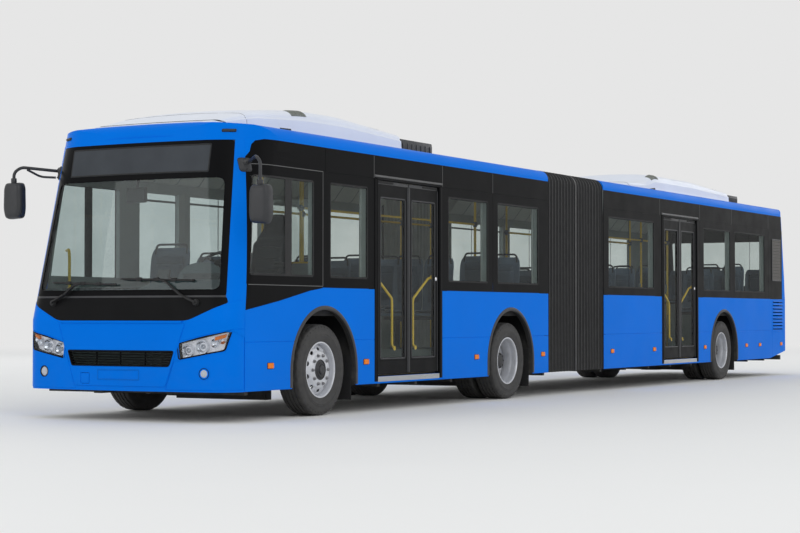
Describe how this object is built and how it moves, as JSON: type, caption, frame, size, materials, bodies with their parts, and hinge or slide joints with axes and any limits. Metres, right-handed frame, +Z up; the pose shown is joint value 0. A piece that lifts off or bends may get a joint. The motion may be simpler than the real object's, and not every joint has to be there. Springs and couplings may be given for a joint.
{
  "type": "articulated city bus",
  "caption": "Low-floor articulated city bus: two hinged body sections with a bellows, steered front wheels, twin rear wheels, folding doors, cabin and roof units.",
  "frame": {"origin": "on the ground under the middle of the bus's length and width", "axes": "+Z up, front of the bus towards -Y, the bus's left-hand side towards +X"},
  "size_m": [3.36, 18, 3.2299],
  "materials": {
    "axle_black": "painted",
    "bellows_rubber": "matte",
    "body_blue": "gloss",
    "dash": "matte",
    "display_black": "gloss",
    "door_black": "gloss",
    "door_steel": "satin",
    "engine_grey": "cast",
    "floor": "satin",
    "lamp_lens": "clear",
    "mask_blue": "gloss",
    "mirror_black": "satin",
    "pod_white": "satin",
    "pole_yellow": "gloss",
    "rim_silver": "satin",
    "roof_blue": "gloss",
    "screen_glass": "clear",
    "screen_panel": "satin",
    "seat_cloth": "woven",
    "seat_shell": "satin",
    "side_glass": "tinted",
    "tail_red": "lens",
    "turntable_steel": "painted",
    "tyre": "matte",
    "wheel_rim_black": "matte",
    "wiper_black": "matte"
  },
  "bodies": {
    "front_section": {"front_floor": "floor", "front_podests": "floor", "front_left_wall": "body_blue", "front_right_wall": "body_blue", "front_roof": "roof_blue", "front_mask": "mask_blue", "windscreen": "screen_glass", "destination_display": "display_black", "front_windows": "side_glass", "headlamps": "lamp_lens", "dashboard": "dash", "steering_wheel": "wheel_rim_black", "driver_seat": "seat_cloth", "driver_partition": "screen_panel", "front_seats": "seat_shell", "front_grab_poles": "pole_yellow", "front_roof_unit": "pod_white", "mirrors": "mirror_black", "wipers": "wiper_black", "front_axle": "axle_black", "middle_axle": "axle_black", "turntable_base": "turntable_steel", "bellows": "bellows_rubber"},
    "rear_section": {"rear_floor": "floor", "rear_podests": "floor", "rear_left_wall": "body_blue", "rear_right_wall": "body_blue", "rear_roof": "roof_blue", "rear_panel": "body_blue", "rear_windows": "side_glass", "rear_seats": "seat_shell", "rear_grab_poles": "pole_yellow", "rear_roof_unit": "pod_white", "engine_block": "engine_grey", "rear_axle": "axle_black", "tail_lamps": "tail_red", "turntable_yoke": "turntable_steel"},
    "engine_door": {"engine_door": "body_blue"},
    "left_knuckle": {"steering_knuckle_left": "axle_black"},
    "right_knuckle": {"steering_knuckle_right": "axle_black"},
    "front_left_wheel": {"front_left_tyre": "tyre", "front_left_rim": "rim_silver"},
    "front_right_wheel": {"front_right_tyre": "tyre", "front_right_rim": "rim_silver"},
    "middle_left_wheels": {"middle_left_tyres": "tyre", "middle_left_rims": "rim_silver"},
    "middle_right_wheels": {"middle_right_tyres": "tyre", "middle_right_rims": "rim_silver"},
    "rear_left_wheels": {"rear_left_tyres": "tyre", "rear_left_rims": "rim_silver"},
    "rear_right_wheels": {"rear_right_tyres": "tyre", "rear_right_rims": "rim_silver"},
    "door_1_front_arm": {"door_1_front_arm": "door_steel"},
    "door_1_front_leaf": {"door_1_front_leaf": "door_black"},
    "door_1_back_arm": {"door_1_back_arm": "door_steel"},
    "door_1_back_leaf": {"door_1_back_leaf": "door_black"},
    "door_2_front_arm": {"door_2_front_arm": "door_steel"},
    "door_2_front_leaf": {"door_2_front_leaf": "door_black"},
    "door_2_back_arm": {"door_2_back_arm": "door_steel"},
    "door_2_back_leaf": {"door_2_back_leaf": "door_black"}
  },
  "joints": [
    {"name": "articulation", "type": "hinge", "parent": "front_section", "child": "rear_section", "pos_m": [0, -0.57, 0.3], "axis": [0, 0, 1], "range_deg": [-50, 50], "deforming": ["bellows"]},
    {"name": "engine_door_hinge", "type": "hinge", "parent": "rear_section", "child": "engine_door", "pos_m": [0, 9, 1.252], "axis": [1, 0, 0], "range_deg": [0, 80]},
    {"name": "steer_left", "type": "hinge", "parent": "front_section", "child": "left_knuckle", "pos_m": [0.93, -7.157, 0.4785], "axis": [0, 0, 1], "range_deg": [-45, 45]},
    {"name": "steer_right", "type": "hinge", "parent": "front_section", "child": "right_knuckle", "pos_m": [-0.93, -7.157, 0.4785], "axis": [0, 0, 1], "range_deg": [-45, 45]},
    {"name": "front_left_wheel_spin", "type": "hinge", "parent": "left_knuckle", "child": "front_left_wheel", "pos_m": [1.107, -7.157, 0.4785], "axis": [1, 0, 0], "continuous": true},
    {"name": "front_right_wheel_spin", "type": "hinge", "parent": "right_knuckle", "child": "front_right_wheel", "pos_m": [-1.107, -7.157, 0.4785], "axis": [1, 0, 0], "continuous": true},
    {"name": "middle_left_wheels_spin", "type": "hinge", "parent": "front_section", "child": "middle_left_wheels", "pos_m": [0.952, -2.638, 0.4785], "axis": [1, 0, 0], "continuous": true},
    {"name": "middle_right_wheels_spin", "type": "hinge", "parent": "front_section", "child": "middle_right_wheels", "pos_m": [-0.952, -2.638, 0.4785], "axis": [1, 0, 0], "continuous": true},
    {"name": "rear_left_wheels_spin", "type": "hinge", "parent": "rear_section", "child": "rear_left_wheels", "pos_m": [0.952, 5.463, 0.4785], "axis": [1, 0, 0], "continuous": true},
    {"name": "rear_right_wheels_spin", "type": "hinge", "parent": "rear_section", "child": "rear_right_wheels", "pos_m": [-0.952, 5.463, 0.4785], "axis": [1, 0, 0], "continuous": true},
    {"name": "door_1_front_arm_swing", "type": "hinge", "parent": "front_section", "child": "door_1_front_arm", "pos_m": [1.242, -5.987, 2.5], "axis": [0, 0, 1], "range_deg": [0, 90]},
    {"name": "door_1_front_leaf_turn", "type": "hinge", "parent": "door_1_front_arm", "child": "door_1_front_leaf", "pos_m": [1.242, -5.671, 2.45], "axis": [0, 0, 1], "range_deg": [-180, 0]},
    {"name": "door_1_back_arm_swing", "type": "hinge", "parent": "front_section", "child": "door_1_back_arm", "pos_m": [1.242, -4.633, 2.5], "axis": [0, 0, 1], "range_deg": [-90, 0]},
    {"name": "door_1_back_leaf_turn", "type": "hinge", "parent": "door_1_back_arm", "child": "door_1_back_leaf", "pos_m": [1.242, -4.949, 2.45], "axis": [0, 0, 1], "range_deg": [0, 180]},
    {"name": "door_2_front_arm_swing", "type": "hinge", "parent": "rear_section", "child": "door_2_front_arm", "pos_m": [1.242, 2.748, 2.5], "axis": [0, 0, 1], "range_deg": [0, 90]},
    {"name": "door_2_front_leaf_turn", "type": "hinge", "parent": "door_2_front_arm", "child": "door_2_front_leaf", "pos_m": [1.242, 3.064, 2.45], "axis": [0, 0, 1], "range_deg": [-180, 0]},
    {"name": "door_2_back_arm_swing", "type": "hinge", "parent": "rear_section", "child": "door_2_back_arm", "pos_m": [1.242, 4.102, 2.5], "axis": [0, 0, 1], "range_deg": [-90, 0]},
    {"name": "door_2_back_leaf_turn", "type": "hinge", "parent": "door_2_back_arm", "child": "door_2_back_leaf", "pos_m": [1.242, 3.786, 2.45], "axis": [0, 0, 1], "range_deg": [0, 180]}
  ],
  "couplings": [
    {"joint": "steer_right", "follows": "steer_left", "ratio": 1},
    {"joint": "door_1_front_leaf_turn", "follows": "door_1_front_arm_swing", "ratio": -2},
    {"joint": "door_1_back_arm_swing", "follows": "door_1_front_arm_swing", "ratio": -1},
    {"joint": "door_1_back_leaf_turn", "follows": "door_1_front_arm_swing", "ratio": 2},
    {"joint": "door_2_front_leaf_turn", "follows": "door_2_front_arm_swing", "ratio": -2},
    {"joint": "door_2_back_arm_swing", "follows": "door_2_front_arm_swing", "ratio": -1},
    {"joint": "door_2_back_leaf_turn", "follows": "door_2_front_arm_swing", "ratio": 2}
  ]
}
